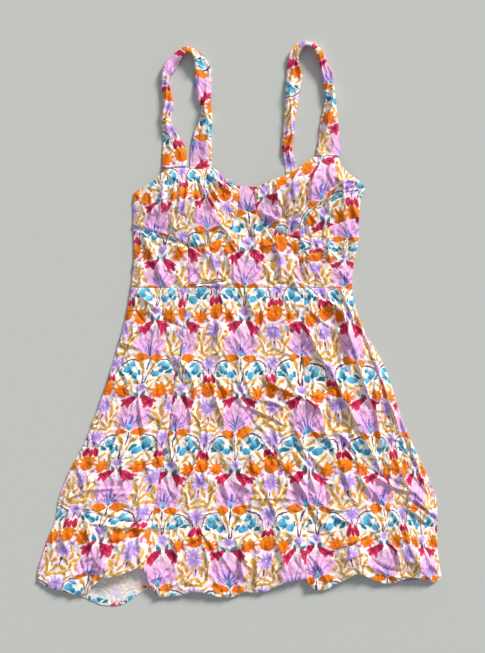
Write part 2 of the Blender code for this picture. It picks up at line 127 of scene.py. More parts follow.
# Main creases: start x, y, middle x, y, end x, y, half width, height, cloth taken up
CREASES = [
    (-85, 1, -56, 7, -24, 11, 2.6, -1.8, 5), (-34, 27, -27, 19, -22, 11, 2.2, 1.8, 3),
    (-163, -8, -148, -20, -128, -38, 2.8, 2, 4), (-152, -4, -138, -14, -124, -22, 2.2, -1.2, 2),
    (-104, -108, -84, -130, -74, -152, 3, 2.4, 5), (-74, -152, -72, -164, -78, -176, 2.6, 2, 4),
    (-86, -192, -96, -204, -110, -220, 2.6, 2, 4), (-6, -143, 2, -157, 8, -172, 2.4, 2, 4),
    (160, -3, 166, -50, 184, -107, 3.2, 2.6, 7), (184, -107, 196, -150, 212, -196, 3.2, 2.4, 7),
    (179, -19, 190, -56, 206, -92, 3, 2.4, 7), (206, -92, 232, -166, 260, -244, 3.4, 2.8, 8),
    (101, -51, 120, -96, 144, -132, 3, 2.2, 5), (144, -132, 172, -190, 225, -292, 3.4, 2.6, 7),
    (35, -139, 66, -160, 96, -171, 2.8, 2.2, 5), (96, -171, 112, -182, 129, -196, 2.6, 1.8, 4),
    (72, -134, 82, -152, 92, -172, 2.4, 1.8, 4), (85, -222, 98, -252, 106, -278, 3, 2.4, 6),
    (106, -278, 112, -300, 120, -324, 2.8, 2, 5), (144, -417, 180, -400, 211, -387, 3, 2.4, 6),
    (211, -387, 224, -380, 237, -371, 2.6, 1.8, 4), (160, -430, 180, -424, 200, -416, 2.6, 2, 5),
    (300, -356, 288, -344, 276, -336, 2.4, 2, 3), (300, -356, 308, -344, 312, -330, 2.2, 1.8, 3),
    (300, -356, 292, -372, 286, -384, 2.4, 1.9, 3), (300, -356, 310, -362, 316, -372, 2, 1.6, 2),
    (-246, -370, -238, -400, -232, -428, 2.8, 2.4, 5), (-286, -370, -282, -396, -275, -417, 2.6, 2.2, 4),
    (-214, -376, -160, -370, -110, -374, 2.2, -1.2, 2), (-204, -130, -214, -160, -226, -188, 2.8, 2, 4),
    (-130, -60, -140, -92, -138, -126, 2.8, 1.8, 4), (-184, -210, -200, -250, -206, -290, 3, 2, 5),
    (-150, -300, -164, -330, -170, -356, 2.8, 1.8, 4), (-262, -284, -250, -306, -246, -330, 2.6, 1.8, 4),
    (-40, -40, -34, -74, -46, -100, 2.8, 1.8, 4), (30, -20, 36, -52, 22, -84, 2.6, 1.6, 3),
    (74, -16, 80, -40, 74, -66, 2.6, 1.8, 4), (0, -206, -10, -236, -6, -262, 2.8, 1.8, 4),
    (48, -214, 60, -246, 52, -280, 2.8, 1.8, 4), (-66, -260, -76, -292, -92, -318, 2.8, 2, 4),
    (-36, -300, -20, -330, -24, -362, 2.8, 1.8, 4), (36, -318, 52, -346, 60, -380, 2.8, 2, 5),
    (-110, -396, -100, -420, -104, -446, 2.8, 2.2, 4), (-56, -410, -50, -440, -52, -470, 2.8, 2.2, 4),
    (10, -400, 4, -432, 6, -466, 2.8, 2.2, 4), (58, -404, 68, -430, 74, -456, 2.6, 2, 4),
    (126, -340, 150, -352, 176, -350, 2.8, 2, 5), (230, -300, 250, -318, 276, -322, 2.8, 2, 4),
    (150, -226, 176, -250, 190, -284, 2.8, 2.2, 5), (236, -400, 250, -424, 252, -446, 2.6, 2.2, 4),
    (-66, 176, -56, 150, -44, 122, 2.4, 2.4, 5), (-82, 180, -84, 150, -90, 118, 2.2, 1.8, 4),
    (-98, 184, -104, 156, -108, 124, 2.2, 1.6, 3), (-52, 183, -38, 170, -14, 152, 2.4, 2.4, 5),
    (-58, 176, -50, 156, -34, 132, 1.8, -1.6, 3), (-74, 178, -72, 150, -70, 120, 1.8, -1.2, 2),
    (-62, 88, -40, 96, -18, 114, 2.4, 1.8, 4), (-128, 160, -124, 132, -134, 100, 2.4, 1.6, 3),
    (-146, 154, -140, 124, -150, 98, 2.2, 1.4, 3), (62, 132, 68, 118, 66, 104, 2.6, -3, 6),
    (36, 118, 48, 112, 64, 106, 2.6, 2.6, 6), (100, 106, 104, 94, 104, 84, 2.4, -2.6, 4),
    (126, 198, 116, 178, 112, 150, 2.4, 2.2, 4), (146, 202, 140, 184, 150, 162, 2.4, 2, 4),
    (92, 186, 84, 164, 88, 138, 2.4, 2.2, 4), (60, 168, 58, 150, 66, 132, 2.4, 2.2, 4),
    (176, 174, 158, 164, 148, 148, 2.2, 2, 3), (190, 168, 172, 170, 160, 166, 2, 1.6, 3),
    (120, 130, 134, 140, 150, 146, 2.2, 1.8, 4), (60, 60, 66, 40, 62, 18, 2.4, 1.4, 3),
    (100, 66, 96, 44, 102, 22, 2.4, -1.6, 3), (150, 92, 140, 66, 146, 40, 2.4, 1.6, 4),
    (172, 84, 166, 60, 170, 34, 2.2, 1.4, 3), (-40, 66, -44, 44, -36, 24, 2.2, 1.2, 3),
    (-116, 66, -122, 44, -114, 20, 2.2, 1.2, 3), (-152, 80, -148, 58, -156, 34, 2.2, 1.4, 3),
    (-120, -106, -102, -134, -82, -166, 3.2, -2.6, 6), (29, -240, 56, -267, 83, -299, 2.4, 2.2, 5),
    (83, -299, 96, -314, 108, -333, 2.4, 2, 4), (147, -152, 160, -172, 171, -191, 2.2, -1.8, 4),
    (252, -211, 264, -245, 274, -275, 2.4, -2, 4), (107, -216, 126, -234, 146, -240, 2.4, 2, 4),
    (2, -186, 38, -200, 73, -218, 2.4, 2, 5), (19, -334, 54, -333, 88, -337, 2.2, 1.8, 4),
    (142, -360, 162, -368, 181, -373, 2.2, 1.8, 4), (282, -400, 294, -418, 304, -438, 2.4, -2.2, 4),
    (21, -177, 46, -180, 72, -189, 2.2, 1.8, 4), (-215, -92, -190, -88, -164, -96, 2.2, 1.6, 3),
    (102, 153, 106, 139, 100, 125, 2.6, -2.2, 4), (8, 126, 16, 122, 25, 117, 2.2, -1.8, 3),
    (131, 139, 154, 150, 186, 161, 2.2, -1.6, 3), (84, 30, 94, 14, 105, -2, 2.2, 1.8, 4),
    (136, -6, 150, -2, 166, 2, 2.2, -1.8, 4), (-56, 172, -50, 150, -40, 128, 1.8, 2.4, 4),
    (-66, 168, -62, 146, -58, 118, 1.8, -2, 3), (-48, 168, -42, 154, -30, 136, 1.8, 2, 3),
    (-96, 172, -94, 148, -98, 120, 1.8, 1.8, 3), (-116, 166, -114, 146, -120, 118, 1.8, -1.4, 3),
    (142, -10, 153, -17, 165, -26, 4.2, -2.6, 4), (140, -22, 152, -29, 164, -40, 2.4, 2.2, 4),
    (160, -2, 168, -22, 178, -46, 2.6, 2.6, 4), (148, 2, 160, -4, 172, -2, 2.2, 2, 3),
    (-166, 94, -122, 79, -84, 65, 2, -1.6, 5), (-166, 101, -124, 87, -86, 74, 2.2, 1.4, 5),
    (-38, 178, -22, 166, -8, 154, 3.2, -2.4, 4), (116, 117, 146, 137, 176, 149, 2, -1.8, 5),
    (-66, 8, -44, 7, -20, 13, 2, -1.8, 4), (-60, 15, -40, 14, -22, 18, 2, 1.4, 3),
    (-262, -352, -205, -366, -146, -375, 2.2, -1.8, 6), (-242, -372, -190, -379, -104, -381, 2.4, 1.8, 6),
    (-264, -466, -246, -459, -226, -456, 2.4, -2.2, 4), (-262, -457, -244, -450, -222, -446, 2.4, 2, 4),
    (-259, -371, -256, -384, -252, -397, 1.8, -1.8, 3), (-232, -376, -226, -394, -222, -410, 2, -1.8, 3),
    (-90, -417, -74, -408, -57, -395, 2, -1.9, 4), (-212, -406, -184, -400, -155, -388, 2.2, -1.9, 4),
    (-66, -384, -50, -402, -38, -424, 2.2, 1.8, 4), (-262, -420, -252, -444, -248, -464, 2.2, -1.9, 4),
    (78, -228, 94, -260, 117, -290, 2.8, -2.6, 6), (88, -224, 104, -254, 128, -284, 2.4, 2.2, 5),
    (206, -288, 232, -302, 257, -311, 2.4, -2.3, 5), (212, -298, 234, -311, 252, -322, 2.4, 1.8, 4),
    (266, -338, 288, -348, 305, -364, 2.4, -2.4, 4), (262, -350, 280, -360, 296, -376, 2.2, 1.8, 4),
    (204, -409, 216, -400, 230, -392, 2, -1.9, 3), (208, -431, 232, -446, 258, -450, 2.2, -2, 4),
    (214, -442, 236, -456, 256, -460, 2.2, 1.6, 4), (288, -398, 296, -424, 308, -446, 2.2, 1.8, 4),
]

# Where each piece has a hem or a turned edge, from and to x, and whether it is the lower edge
HEMS = {"skirt_front_left": (-324, -150, True), "skirt_front_centre": (-148, 103, True),
        "skirt_front_right": (105, 321, True), "skirt_back": (-322, 322, True),
        "bodice_back": (-60, 72, False)}
HEM_STITCH = 9.0
TURNED_EDGE = 10.0

# How closely a hem's line is followed, and the distance that stands for no hem
HEM_STEP = 2.0
NO_HEM = 1000.0

# Corners closer than this are one, in metres, and faces that look up less than this are no upper face
WELD = 0.00001
UPWARD = 0.15

# How finely a skin is divided, and the lowest that a front piece's upper face comes, clear of the back
SKIN_LEVELS = 3
FRONT_LOWEST = 2.3

# Folds that wind round a strap: where they start across it, how far they run while they cross it once,
# their half width as a share of the strap's width, and their height as a share of its crown
STRAP_FOLDS = [(0.14, 170.0, 0.13, 0.80), (0.62, 170.0, 0.11, 0.62), (0.38, -210.0, 0.09, -0.50),
               (0.86, -130.0, 0.07, 0.40)]

# Straps from the cup up over the loop and down to the back bodice: x, y, width, thickness, crown,
# roll in degrees, height of the lowest edge, then the strip's middle in the print, across and down
STRAP_LEFT = [
    (-104, 192.3, 40, 1.4, 2.6, 0, 3.4, 0.77, 0.60), (-105, 205, 40, 1.6, 3.0, 0, 0.8, 0.77, 0.50),
    (-106, 221, 38, 1.8, 3.6, 0, 0.0, 0.78, 0.36), (-110, 237, 28, 2.2, 5.0, 4, 0.0, 0.80, 0.22),
    (-115, 253, 20, 2.6, 6.0, 8, 0.0, 0.85, 0.08), (-118, 272, 15, 2.8, 6.4, 0, 0.0, 0.90, -0.12),
    (-115, 291, 16, 2.8, 6.2, -8, 0.0, 0.92, -0.40), (-118, 312, 13, 2.8, 6.4, -20, 0.0, 0.95, -0.64),
    (-122, 329, 10, 2.8, 5.6, -34, 0.0, 1.15, -0.90), (-114, 350, 20, 2.4, 4.6, -22, 0.0, 1.95, -1.16),
    (-99, 367, 16, 2.4, 4.4, 30, 0.0, 1.80, -1.33), (-83, 376, 17, 2.2, 3.0, 62, 0.0, 1.35, -1.50),
    (-69, 368, 20, 2.2, 3.4, 50, 0.0, 1.30, -1.68), (-60, 349, 26, 2.2, 5.0, 16, 0.0, 1.55, -1.92),
    (-59, 330, 27, 2.2, 5.2, 0, 0.0, 1.75, -2.06), (-58, 309, 24, 2.4, 5.6, -6, 0.0, 1.78, -2.32),
    (-53, 286, 16, 2.8, 6.6, -20, 0.0, 1.70, -2.52), (-55, 266, 21, 2.6, 6.0, 8, 0.0, 1.68, -2.72),
    (-60, 245, 28, 2.0, 5.0, 4, 0.0, 1.72, -2.92), (-62, 221, 35, 1.6, 3.6, 0, 0.0, 1.75, -3.14),
    (-63, 201, 35, 1.3, 0.0, 0, 0.0, 1.75, -3.34), (-64, 178.3, 35, 1.3, 0.0, 0, 0.0, 1.75, -3.54),
]
STRAP_RIGHT = [
    (141, 210.4, 38, 1.4, 2.6, 0, 3.4, 1.50, 0.98), (141, 221, 38, 1.6, 3.0, 0, 0.8, 1.50, 0.89),
    (142, 237, 34, 1.8, 4.2, 0, 0.0, 1.50, 0.76), (142, 256, 31, 2.0, 5.0, 4, 0.0, 1.50, 0.60),
    (143, 272, 26, 2.4, 5.6, 8, 0.0, 1.50, 0.47), (144, 288, 21, 2.6, 6.0, 4, 0.0, 1.52, 0.34),
    (144, 304, 18, 2.8, 6.4, -6, 0.0, 1.60, 0.20), (141, 320, 18, 2.8, 6.4, -14, 0.0, 1.85, 0.04),
    (138, 338, 16, 2.6, 6.0, -26, 0.0, 2.05, -0.16), (132, 355, 17, 2.4, 5.2, -38, 0.0, 1.80, -0.36),
    (126, 371, 19, 2.2, 4.0, -54, 0.0, 1.50, -0.55), (115, 384, 18, 2.2, 3.2, -62, 0.0, 1.15, -0.72),
    (101, 386, 18, 2.2, 3.4, -56, 0.0, 1.00, -0.90), (89, 375, 17, 2.4, 4.6, -30, 0.0, 1.30, -1.14),
    (85, 358, 18, 2.4, 5.4, -8, 0.0, 1.68, -1.38), (87, 339, 26, 2.2, 5.0, 4, 0.0, 1.48, -1.56),
    (84, 317, 23, 2.4, 5.4, 8, 0.0, 1.40, -1.80), (82, 294, 20, 2.6, 5.8, 0, 0.0, 1.32, -2.02),
    (80, 272, 18, 2.8, 6.0, -6, 0.0, 1.28, -2.22), (78, 250, 18, 2.8, 5.8, 4, 0.0, 1.20, -2.42),
    (75, 227, 16, 2.6, 5.4, 0, 0.0, 1.05, -2.64), (78, 208, 17, 1.8, 3.4, 0, 0.0, 1.00, -2.84),
    (81, 195, 18, 1.3, 0.0, 0, 0.0, 1.00, -2.94), (82, 173.3, 18, 1.3, 0.0, 0, 0.0, 1.00, -3.10),
]

# How much fuller the straps are than the crowns above, their sections for each row, and the divisions of
# a section over its top and its underside
STRAP_DEPTH = 1.35
STRAP_STEPS = 12
STRAP_UPPER = 26
STRAP_LOWER = 10

# Hollows where a strap turns over: which strap, how far along its rows, place across it, its length in
# rows, its breadth and its depth as shares of the strap's width and crown
STRAP_HOLLOWS = [("strap_left", 12.9, 0.05, 0.8, 0.24, 1.6), ("strap_left", 9.6, 0.20, 0.7, 0.16, 1.2),
                 ("strap_left", 16.2, 0.22, 0.9, 0.14, 1.1), ("strap_left", 3.6, -0.10, 0.9, 0.12, 1.0),
                 ("strap_right", 8.6, -0.15, 1.0, 0.18, 1.3), ("strap_right", 14.6, -0.10, 1.0, 0.14, 1.1),
                 ("strap_right", 11.6, 0.10, 0.8, 0.18, 1.2), ("strap_right", 5.4, -0.30, 1.0, 0.12, 1.0)]

# The print's inks, as sRGB hex values: body of the stroke, then its shaded end
INKS = {
    "ground": ("FFFBF7", "F1E6DC"),
    "blush": ("FBEAF7", "F3D9F2"),
    "bloom": ("FBCDF2", "EBA4DF"),
    "bloom_vein": ("DF8FD6", "C56CC2"),
    "stamen": ("7484E6", "4A48B8"),
    "crimson": ("F03A70", "A30F3C"),
    "crimson_vein": ("8E0C34", "8E0C34"),
    "orange": ("F89214", "EA620A"),
    "orange_heart": ("EE7410", "CE5208"),
    "ochre": ("F6BB4E", "D28C2C"),
    "turquoise": ("72CCEC", "1486BC"),
    "teal": ("2A98B8", "145E82"),
    "lilac": ("D5B4F5", "AC86E4"),
    "violet": ("BEA4EA", "947ED0"),
    "plum": ("7A3B62", "51233F"),
}

# One half of the print's repeat, drawn in this order, in millimetres from the foot of a pink bloom: shape
# and ink, then x, y, turn in degrees, length, width and a rosette's petals for each stroke. Its two
# upright edges are mirrors.
PRINT = [
    ("oval", "blush", [(53, -84, 90, 40, 36), (28, -60, 90, 22, 30), (53, -14, 90, 30, 26),
                       (0, -52, 90, 24, 15)]),
    ("arc", "plum", [(24, -27, 90, 40, 40)]),
    ("petal", "plum", [(2, -38, 80, 24, 2.2), (0, -12, 90, 24, 3.2)]),
    ("arc", "plum", [(44, -20, 200, 14, 14)]),
    ("oval", "bloom", [(18, 16, 58, 32, 18), (12, 23, 74, 43, 18), (0, 24, 90, 50, 24),
                       (10, 8, 10, 34, 14)]),
    ("petal", "bloom_vein", [(18, 20, 56, 28, 1.8), (10, 28, 74, 30, 1.8), (23, 12, 36, 16, 1.5),
                             (0, 37, 90, 18, 1.8)]),
    ("petal", "stamen", [(0, 15, 90, 28, 3.2), (5, 14, 70, 24, 1.9), (9, 11, 50, 20, 1.7),
                         (11, 7, 32, 15, 1.3)]),
    ("oval", "turquoise", [(0, 4, 90, 12, 6)]), ("petal", "orange", [(14, -3, 6, 24, 12)]),
    ("petal", "ochre", [(9, -15, 52, 18, 5.5), (4, -25, 66, 12, 3.4)]),
    ("oval", "turquoise", [(30, -21, 70, 14, 11), (17, -31, 30, 13, 10)]),
    ("petal", "turquoise", [(24, -14, 40, 13, 6)]),
    ("petal", "teal", [(36, -29, 40, 12, 6), (10, -27, 62, 11, 5), (25, -27, 130, 10, 5)]),
    ("petal", "ochre", [(22, -42, 50, 18, 4.8), (11, -43, 20, 14, 4.1), (35, -41, 130, 16, 4.5),
                        (14, -54, 70, 14, 4.1)]),
    ("rosette", "lilac", [(0, -51, 0, 18, 12, 7)]), ("oval", "lilac", [(0, -51, 90, 13, 6)]),
    ("petal", "teal", [(6, -63, 66, 14, 5.4)]),
    ("petal", "crimson", [(13, -71, -34, 26, 11), (20, -77, -50, 16, 7.5), (23, -73, -10, 11, 6),
                          (15, -80, -92, 12, 6)]),
    ("petal", "crimson_vein", [(15, -72, -35, 22, 1.6)]), ("petal", "crimson", [(10, -74, -64, 11, 5)]),
    ("rosette", "orange", [(28, -58, 8, 27, 25, 9)]), ("oval", "orange", [(28, -59, 80, 20, 17)]),
    ("rosette", "orange_heart", [(28, -59, 0, 12, 12, 5)]), ("oval", "orange", [(28, -59, 0, 6, 6)]),
    ("rosette", "orange", [(53, -52, 0, 29, 27, 11)]), ("oval", "orange", [(53, -53, 90, 24, 22)]),
    ("rosette", "orange_heart", [(53, -54, 10, 15, 13, 6)]), ("oval", "orange", [(53, -54, 0, 7, 6)]),
    ("petal", "crimson", [(46, -36, 72, 18, 8.5), (52, -37, 88, 12, 5)]),
    ("petal", "crimson_vein", [(46, -36, 74, 13, 1.5)]), ("rosette", "lilac", [(53, -12, 12, 24, 23, 9)]),
    ("rosette", "violet", [(53, -12, 0, 10, 9, 8)]), ("petal", "plum", [(53, -24, 90, 12, 2.6)]),
    ("rosette", "lilac", [(53, -80, 0, 27, 26, 12)]), ("rosette", "violet", [(53, -79, 15, 12, 12, 9)]),
    ("oval", "bloom", [(53, -79, 0, 5, 5)]), ("petal", "plum", [(53, -96, 90, 16, 2.4)]),
    ("petal", "ochre", [(38, -88, 100, 22, 5.5), (31, -94, 128, 20, 4.8), (46, -97, 62, 18, 4.8),
                        (36, -104, 100, 19, 5.2), (47, -109, 36, 18, 4.8), (28, -106, 60, 16, 4.5),
                        (41, -76, 80, 14, 4.1), (39, -115, 156, 18, 4.8), (50, -118, 160, 14, 3.8),
                        (34, -3, 150, 15, 4.1), (45, 3, 20, 16, 4.1)]),
    ("oval", "orange", [(29, -84, 0, 6, 5)]), ("petal", "ochre", [(38, -46, 60, 12, 3.4)]),
    ("oval", "bloom", [(41, -6, 0, 6, 5)]), ("oval", "bloom_vein", [(40, -66, 0, 6, 5)]),
    ("oval", "bloom", [(27, 0, 0, 5, 5)]),
]

# How each shape is worked out, a step a row: its result, the operation and what it works on. A size is 0
# in the middle of a stroke and 1 at its outline, and a shade is 0 where its first colour is pure.
ROUND = [("breadth", "MULTIPLY", "aside", "aside"), ("size", "MULTIPLY_ADD", "along", "along", "breadth")]
LENGTHWISE = [("shade", "MULTIPLY_ADD", "along", -0.55, 0.40)]
STROKE_STEPS = {
    "petal": [("breadth", "ABSOLUTE", "aside"), ROUND[1]] + LENGTHWISE,
    "oval": ROUND + LENGTHWISE,
    "arc": ROUND + LENGTHWISE + [
        ("away", "SUBTRACT", "size", 1.0), ("rim", "ABSOLUTE", "away"),
        ("behind", "MULTIPLY", "along", -4.0), ("hidden", "MAXIMUM", "behind", 0.0),
        ("size", "MULTIPLY_ADD", "rim", 11.0, "hidden")],
    "rosette": ROUND + [
        ("shade", "MULTIPLY_ADD", "size", -1.1, 0.8), ("turn", "ARCTAN2", "aside", "along"),
        ("wave", "MULTIPLY", "turn", "Petals"), ("lobe", "COSINE", "wave"),
        ("reach", "MULTIPLY_ADD", "lobe", 0.36, 0.64), ("size", "DIVIDE", "size", "reach")],
}

# How much deeper the main creases are than the heights above, which are those of a pressed cloth
CREASE_DEPTH = 2.3

# The dress in plan: its left, right, foot and head
DRESS_PLAN = (-330.0, 330.0, -520.0, 215.0)

# Creases that washing leaves, long, middling and short: cloth for each in square millimetres, then the
# least and the most of length, half width and height, and how far they stray from the cloth's run
WASHED_CREASES = [
    (3600.0, (80.0, 190.0), (2.6, 4.2), (2.4, 5.2), 0.34),
    (760.0, (32.0, 84.0), (1.8, 2.9), (1.8, 4.2), 0.55),
    (170.0, (10.0, 34.0), (1.3, 2.1), (0.8, 2.4), 0.80),
]

# The stage, in metres: how far the floor reaches each way, how far it lies below the dress, where the
# camera hangs in plan, and where the window is
FLOOR_REACH = 3.0
FLOOR_DROP = 0.0002
CAMERA_PLAN = (0.006, -0.0034)
WINDOW_PLACE = (1.2, 1.5, 1.05)

# Cells of smooth noise each way before it comes round again
NOISE_CELLS = 64

# Node groups of the print, by name, so that each is made once
GROUPS = {}


def linear(hex_value):
    """Linear colour from an sRGB hex value."""
    channels = [int(hex_value[k:k + 2], 16) / 255.0 for k in (0, 2, 4)]
    return [c / 12.92 if c <= 0.04045 else ((c + 0.055) / 1.055) ** 2.4 for c in channels] + [1.0]


def add(tree, kind, inputs=None, **settings):
    """Adds a node to a tree, sets it up, and fills or links its inputs."""
    node = tree.nodes.new(kind)
    for key, value in settings.items():
        setattr(node, key, value)
    for key, value in (inputs or {}).items():
        if isinstance(value, bpy.types.NodeSocket):
            tree.links.new(value, node.inputs[key])
        else:
            node.inputs[key].default_value = value
    return node


def eased(value):
    """Smooth step from 0 to 1."""
    held = np.clip(value, 0.0, 1.0)
    return held * held * (3.0 - 2.0 * held)


def drift(x, y, size, seed):
    """Smooth noise over the plan, from about -1 to 1, with bumps of the given size."""
    turns = np.random.default_rng(seed).random((NOISE_CELLS, NOISE_CELLS)) * 2.0 * math.pi
    across = np.asarray(x) / size
    along = np.asarray(y) / size
    column = np.floor(across).astype(int)
    row = np.floor(along).astype(int)
    u = across - column
    v = along - row

    def corner(i, j):
        turn = turns[(column + i) % NOISE_CELLS, (row + j) % NOISE_CELLS]
        return np.cos(turn) * (u - i) + np.sin(turn) * (v - j)

    ease_u = eased(u)
    ease_v = eased(v)
    low = corner(0, 0) * (1.0 - ease_u) + corner(1, 0) * ease_u
    high = corner(0, 1) * (1.0 - ease_u) + corner(1, 1) * ease_u
    return 1.6 * (low * (1.0 - ease_v) + high * ease_v)


def crinkles(x, y, seed):
    """Height of the small creases that cover the cloth, in millimetres about a mean of nought."""
    bent_x = x + 10.0 * drift(x, y, 36.0, seed) + 3.0 * drift(x, y, 12.0, seed + 1)
    bent_y = y + 10.0 * drift(x, y, 40.0, seed + 2) + 3.0 * drift(x, y, 13.0, seed + 3)
    height = 0.0
    for size, sharpness, rise, extra in ((34.0, 2.4, 2.2, 4), (19.0, 2.0, 1.5, 5), (10.0, 1.6, 0.8, 6)):
        ridge = 1.0 - np.abs(drift(bent_x, bent_y * 0.56, size, seed + extra))
        height = height + rise * (np.clip(ridge, 0.0, 1.0) ** sharpness - 0.42)
    return height


def bent_line(x0, y0, xm, ym, x1, y1, parts):
    """Points along a smooth curve from a start through a middle to an end."""
    t = np.linspace(0.0, 1.0, parts + 1)
    turn_x = 2.0 * xm - (x0 + x1) / 2.0
    turn_y = 2.0 * ym - (y0 + y1) / 2.0
    across = (1.0 - t) ** 2 * x0 + 2.0 * t * (1.0 - t) * turn_x + t * t * x1
    along = (1.0 - t) ** 2 * y0 + 2.0 * t * (1.0 - t) * turn_y + t * t * y1
    return across, along


def fold_profile(side, half_width):
    """Section of a crease, 1 at its crest: a gentle slope on one side and a steep one on the other."""
    gentle = np.exp(-np.clip(side, 0.0, None) / (1.5 * half_width))
    steep = np.exp(-(np.clip(side, None, 0.0) / (0.75 * half_width)) ** 2)
    return gentle * steep


def crease_field(x, y):
    """Height of the main creases, and how far the print is drawn into them across and along."""
    height = np.zeros_like(x)
    draw_x = np.zeros_like(x)
    draw_y = np.zeros_like(x)
    reach = 60.0
    parts = 10
    for x0, y0, xm, ym, x1, y1, half_width, rise, taken in CREASES:
        across, along = bent_line(x0, y0, xm, ym, x1, y1, parts)
        near = np.nonzero((x > across.min() - reach) & (x < across.max() + reach)
                          & (y > along.min() - reach) & (y < along.max() + reach))[0]
        if not len(near):
            continue
        best = np.full(len(near), 1e9)
        side = np.zeros(len(near))
        share = np.zeros(len(near))
        normal_x = np.zeros(len(near))
        normal_y = np.zeros(len(near))
        for k in range(parts):
            run_x = across[k + 1] - across[k]
            run_y = along[k + 1] - along[k]
            length = math.hypot(run_x, run_y)
            from_x = x[near] - across[k]
            from_y = y[near] - along[k]
            part = np.clip((from_x * run_x + from_y * run_y) / length ** 2, 0.0, 1.0)
            away = np.hypot(from_x - part * run_x, from_y - part * run_y)
            closer = away < best
            best = np.where(closer, away, best)
            side = np.where(closer, (from_y * run_x - from_x * run_y) / length, side)
            share = np.where(closer, (k + part) / parts, share)
            normal_x = np.where(closer, -run_y / length, normal_x)
            normal_y = np.where(closer, run_x / length, normal_y)
        swell = CREASE_DEPTH * np.sin(np.pi * (0.06 + 0.88 * share)) ** 0.7
        trough = np.exp(-((best - 2.2 * half_width) / (1.4 * half_width)) ** 2)
        crest = fold_profile(np.where(side < 0.0, -best, best), half_width)
        height[near] += rise * swell * (crest - 0.3 * trough)
        pull = 0.4 * taken * swell * np.tanh(side / half_width) * np.exp(-best / 26.0)
        draw_x[near] += pull * normal_x
        draw_y[near] += pull * normal_y
    return height, draw_x, draw_y


def washed_creases(x, y, seed):
    """Height of the creases that washing leaves, and how far the print is drawn into them."""
    height = np.zeros_like(x)
    draw_x = np.zeros_like(x)
    draw_y = np.zeros_like(x)
    chance = np.random.default_rng(seed)
    left, right, foot, head = DRESS_PLAN
    ends = x.min(), x.max(), y.min(), y.max()
    for cloth, lengths, half_widths, heights, stray in WASHED_CREASES:
        for _ in range(int((right - left) * (head - foot) / cloth)):
            mid_x = chance.uniform(left, right)
            mid_y = chance.uniform(foot, head)
            # They mostly run down the body and fan out with the skirt
            fan = 0.0013 * mid_x if mid_y < 0.0 else 0.0
            turn = chance.normal(fan - math.pi / 2.0, stray)
            half = chance.uniform(*lengths) / 2.0
            half_width = chance.uniform(*half_widths)
            rise = chance.uniform(*heights) * (1.0 if chance.random() < 0.6 else -0.8)
            bow = chance.normal(0.0, 0.10) / half
            facing = 1.0 if chance.random() < 0.65 else -1.0
            reach = half + 16.0
            if not (ends[0] - reach < mid_x < ends[1] + reach and ends[2] - reach < mid_y < ends[3] + reach):
                continue
            near = np.nonzero((np.abs(x - mid_x) < reach) & (np.abs(y - mid_y) < reach))[0]
            away_x = x[near] - mid_x
            away_y = y[near] - mid_y
            along = away_x * math.cos(turn) + away_y * math.sin(turn)
            aside = away_y * math.cos(turn) - away_x * math.sin(turn) + bow * along * along
            taper = np.clip(1.0 - (along / half) ** 2, 0.0, 1.0)
            height[near] += rise * taper * fold_profile(facing * aside, half_width)
            pull = 0.6 * half_width * taper * np.tanh(aside / half_width) * np.exp(-np.abs(aside) / 7.0)
            draw_x[near] -= pull * math.sin(turn)
            draw_y[near] += pull * math.cos(turn)
    return height, draw_x, draw_y


def print_place(piece, x, y):
    """Where the cloth at each plan point lies in the print: half repeats across, rows down."""
    fall = PRINT_FALL[piece]
    lines = np.array(fall["columns"], dtype=float)
    lines = lines[np.argsort(lines[:, 0])]
    columns = np.stack([np.interp(y, lines[:, 0], lines[:, k]) for k in range(1, lines.shape[1])])
    last = len(columns) - 1
    across = np.zeros_like(x)
    for k in range(last):
        start = columns[k]
        step = columns[k + 1] - start
        share = (x - start) / step
        low = -1e9 if k == 0 else 0.0
        high = 1e9 if k == last - 1 else 1.0
        across = np.where((share >= low) & (share < high), fall.get("first", 0) + k + share, across)
    rows = np.array(fall["rows"], dtype=float)
    level = y + fall.get("tilt", 0.0) * (x - TILT_FROM)
    down = np.interp(-level, -rows[:, 0], rows[:, 1])
    return 2.0 * across, down


def linked(bm, name):
    """Turns a finished bmesh into an object of the scene."""
    mesh = bpy.data.meshes.new(name)
    bm.to_mesh(mesh)
    bm.free()
    piece = bpy.data.objects.new(name, mesh)
    bpy.context.scene.collection.objects.link(piece)
    return piece


def skin_of(name):
    """The upper face of a piece's solid as a fine skin of quads."""
    bm = bmesh.new()
    bm.from_mesh(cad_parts[name].data)
    bmesh.ops.remove_doubles(bm, verts=bm.verts[:], dist=WELD)
    bm.normal_update()
    lower = [face for face in bm.faces if face.normal.z < UPWARD]
    bmesh.ops.delete(bm, geom=lower, context="FACES")
    bmesh.ops.join_triangles(bm, faces=bm.faces[:], angle_face_threshold=math.pi,
                             angle_shape_threshold=math.pi)
    piece = linked(bm, name + "_cloth")
    smooth = piece.modifiers.new("Fine cloth", "SUBSURF")
    smooth.levels = SKIN_LEVELS
    smooth.render_levels = SKIN_LEVELS
    smooth.boundary_smooth = "PRESERVE_CORNERS"
    finish_modifiers(piece)
    return piece


def finish_modifiers(piece):
    """Replaces a piece's mesh with what its modifiers make of it."""
    graph = bpy.context.evaluated_depsgraph_get()
    fine = bpy.data.meshes.new_from_object(piece.evaluated_get(graph))
    rough = piece.data
    piece.modifiers.clear()
    piece.data = fine
    bpy.data.meshes.remove(rough)


def coordinates(mesh):
    """Plan x, plan y and height of every vertex, in millimetres."""
    flat = np.zeros(len(mesh.vertices) * 3)
    mesh.vertices.foreach_get("co", flat)
    points = flat.reshape(-1, 3) / MM
    return points[:, 0] - WAIST_X, points[:, 1] - WAIST_Y, points[:, 2]


def place(mesh, x, y, z):
    """Writes plan coordinates in millimetres back to a mesh."""
    points = np.stack([x + WAIST_X, y + WAIST_Y, z], axis=1) * MM
    mesh.vertices.foreach_set("co", points.ravel())
    mesh.update()


